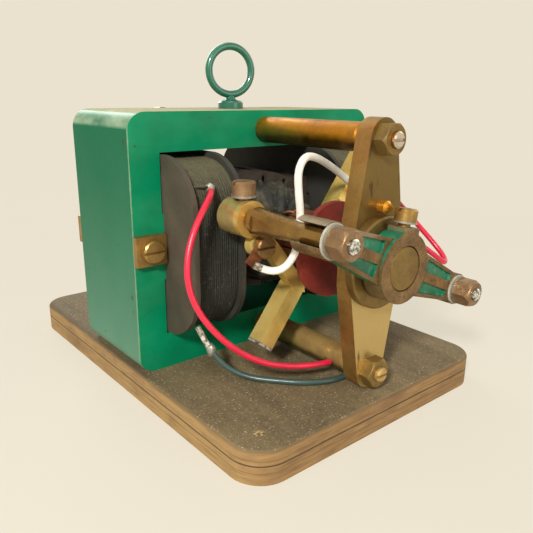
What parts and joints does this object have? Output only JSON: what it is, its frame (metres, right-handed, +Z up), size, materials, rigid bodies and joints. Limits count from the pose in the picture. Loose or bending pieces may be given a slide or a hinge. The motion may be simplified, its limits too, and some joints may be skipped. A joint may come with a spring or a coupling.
{
  "type": "open-frame electric motor",
  "caption": "Small open-yoke electric motor with wound field poles, a brush rocker that swivels on the bearing nose, and a lifting eye, on a plywood base.",
  "frame": {"origin": "centre of the base board's underside", "axes": "+Y along the shaft, from the brush gear to the driving end; +Z up; +X to the right of someone facing the brush gear"},
  "size_m": [0.12, 0.1862, 0.1348],
  "materials": {
    "aged_brass": "aged brass",
    "bronze": "cast bronze, tarnished",
    "carbon": "carbon",
    "copper": "worn copper",
    "cotton_wire": "cotton covered wire, varnished",
    "fibre_grey": "vulcanised fibre",
    "green_enamel": "green machine enamel, worn",
    "green_sleeve": "dark green insulation",
    "iron": "bare iron, varnished",
    "mica": "mica",
    "plywood": "dark stained plywood with a bare edge",
    "red_fibre": "red vulcanised fibre",
    "red_sleeve": "red insulation",
    "spring_steel": "spring wire",
    "steel": "bare worn steel",
    "taped_winding": "black taped and varnished winding",
    "white_sleeve": "white woven sleeve"
  },
  "bodies": {
    "frame": {"base_board": "plywood", "base_screws": "steel", "yoke": "green_enamel", "eyebolt": "green_enamel", "pole_left": "iron", "pole_right": "iron", "coil_cheek_left_outer": "fibre_grey", "coil_cheek_left_inner": "fibre_grey", "field_winding_left": "cotton_wire", "field_turns_left": "cotton_wire", "coil_cheek_right_outer": "fibre_grey", "coil_cheek_right_inner": "fibre_grey", "field_winding_right": "cotton_wire", "field_turns_right": "cotton_wire", "pole_strap_front_left": "aged_brass", "pole_strap_front_right": "aged_brass", "pole_strap_rear_left": "aged_brass", "pole_strap_rear_right": "aged_brass", "strap_screws": "aged_brass", "pillar_front_top": "aged_brass", "pillar_front_low": "aged_brass", "pillar_rear_top": "aged_brass", "pillar_rear_low": "aged_brass", "pillar_nuts": "bronze", "front_bracket": "aged_brass", "rear_bracket": "aged_brass", "front_bearing": "aged_brass", "rear_bearing": "aged_brass", "oil_plug": "aged_brass", "red_lead": "red_sleeve", "green_lead": "green_sleeve", "red_lead_right": "red_sleeve", "white_lead": "white_sleeve"},
    "armature": {"shaft": "steel", "armature_core": "iron", "armature_winding_front": "taped_winding", "armature_winding_rear": "taped_winding", "commutator_hub": "aged_brass", "commutator_bars": "copper", "fibre_disc": "red_fibre"},
    "rocker": {"brush_rocker": "bronze", "rocker_clamp_screw": "aged_brass", "rocker_clamp_washer": "steel", "brush_spindle_left": "aged_brass", "brush_spindle_right": "aged_brass", "spindle_nuts": "bronze", "mica_washers": "mica", "steel_washers": "steel"},
    "holder_left": {"brush_holder_left": "aged_brass", "holder_clamp_screw_left": "bronze", "holder_clamp_washer_left": "steel", "terminal_screw_left": "aged_brass", "terminal_tag_left": "copper", "brush_spring_left": "spring_steel"},
    "holder_right": {"brush_holder_right": "aged_brass", "holder_clamp_screw_right": "bronze", "holder_clamp_washer_right": "steel", "terminal_screw_right": "aged_brass", "terminal_tag_right": "copper", "brush_spring_right": "spring_steel"},
    "carbon_left": {"brush_left": "carbon"},
    "carbon_right": {"brush_right": "carbon"}
  },
  "joints": [
    {"name": "armature_spin", "type": "hinge", "parent": "frame", "child": "armature", "pos_m": [0, 0, 0.06025], "axis": [0, 1, 0], "continuous": true},
    {"name": "rocker_swivel", "type": "hinge", "parent": "frame", "child": "rocker", "pos_m": [0, -0.087, 0.06025], "axis": [0, 1, 0], "range_deg": [-8, 8], "deforming": ["white_lead", "red_lead_right"]},
    {"name": "holder_left_swing", "type": "hinge", "parent": "rocker", "child": "holder_left", "pos_m": [-0.0336, -0.0485, 0.07451], "axis": [0, 1, 0], "range_deg": [0, 15], "deforming": ["white_lead"]},
    {"name": "holder_right_swing", "type": "hinge", "parent": "rocker", "child": "holder_right", "pos_m": [0.0336, -0.0485, 0.04599], "axis": [0, 1, 0], "range_deg": [0, 15], "deforming": ["red_lead_right"]},
    {"name": "brush_left_slide", "type": "slide", "parent": "holder_left", "child": "carbon_left", "axis": [-0.6088, 0, -0.7934], "range_m": [0, 0.006], "stiffness_N_per_m": 60, "springref_m": -0.004, "deforming": ["brush_spring_left"]},
    {"name": "brush_right_slide", "type": "slide", "parent": "holder_right", "child": "carbon_right", "axis": [0.6088, 0, 0.7934], "range_m": [0, 0.006], "stiffness_N_per_m": 60, "springref_m": -0.004, "deforming": ["brush_spring_right"]}
  ]
}
